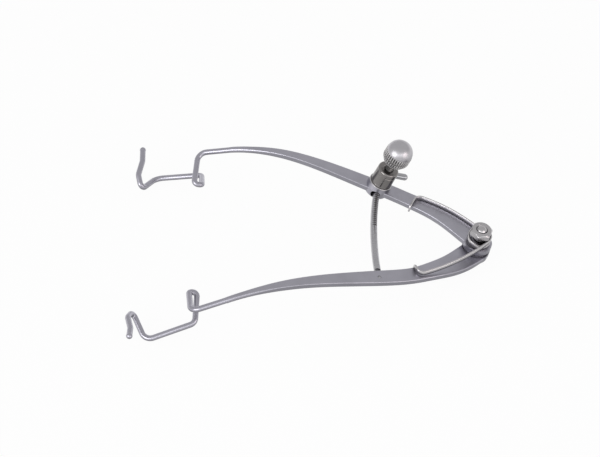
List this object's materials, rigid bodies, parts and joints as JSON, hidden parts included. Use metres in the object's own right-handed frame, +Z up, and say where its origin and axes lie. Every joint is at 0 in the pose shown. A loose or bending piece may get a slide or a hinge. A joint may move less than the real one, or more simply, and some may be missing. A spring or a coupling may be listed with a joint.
{
  "type": "self-retaining retractor",
  "caption": "Sprung wire eyelid retractor: hinged arms with bent wire blades, held open by a serrated bar and a knurled clamp screw.",
  "frame": {"origin": "centre of the footprint at the floor, with the instrument lying on its two blades and the hinge screw's head", "axes": "+X from the blades towards the hinge, +Y from the lower arm towards the upper arm that carries the lock, +Z up"},
  "size_m": [0.0848, 0.0608, 0.0231],
  "materials": {
    "satin_steel": "fine bead-blasted stainless steel with slightly brighter edges",
    "spring_steel": "polished spring strip",
    "bright_steel": "turned stainless steel with soft highlights"
  },
  "bodies": {
    "lower": {"lower_arm": "satin_steel", "hinge_screw": "bright_steel", "hinge_nut": "bright_steel", "hinge_washer": "bright_steel", "spring_sleeve": "bright_steel", "torsion_spring": "spring_steel", "bar_pin": "bright_steel"},
    "upper": {"upper_arm": "satin_steel", "lock_post": "bright_steel"},
    "bar": {"serrated_bar": "satin_steel"},
    "shoe": {"clamp_shoe": "bright_steel"},
    "clamp": {"clamp_screw": "bright_steel", "thumb_knob": "bright_steel"}
  },
  "joints": [
    {"name": "arm_hinge", "type": "hinge", "parent": "lower", "child": "upper", "pos_m": [0.03875, 0, 0.00389], "axis": [0.1688, 0, 0.9857], "range_deg": [0, 26], "stiffness_Nm_per_rad": 0.02, "springref_deg": -20.05, "deforming": ["torsion_spring"]},
    {"name": "bar_hinge", "type": "hinge", "parent": "lower", "child": "bar", "pos_m": [0.01535, -0.01488, 0.00882], "axis": [0.1688, 0, 0.9857], "range_deg": [0, 9.27]},
    {"name": "shoe_slide", "type": "slide", "parent": "upper", "child": "shoe", "axis": [0.3926, 0, 0.9197], "range_m": [-0.00075, 0.0005]},
    {"name": "clamp_turn", "type": "hinge", "parent": "shoe", "child": "clamp", "pos_m": [0.01579, 0.01475, 0.00875], "axis": [0.3926, 0, 0.9197], "range_deg": [-540, 360]}
  ],
  "couplings": [
    {"joint": "bar_hinge", "follows": "arm_hinge", "ratio": 0.35641},
    {"joint": "clamp_turn", "follows": "shoe_slide", "rad_per_m": 12566}
  ]
}
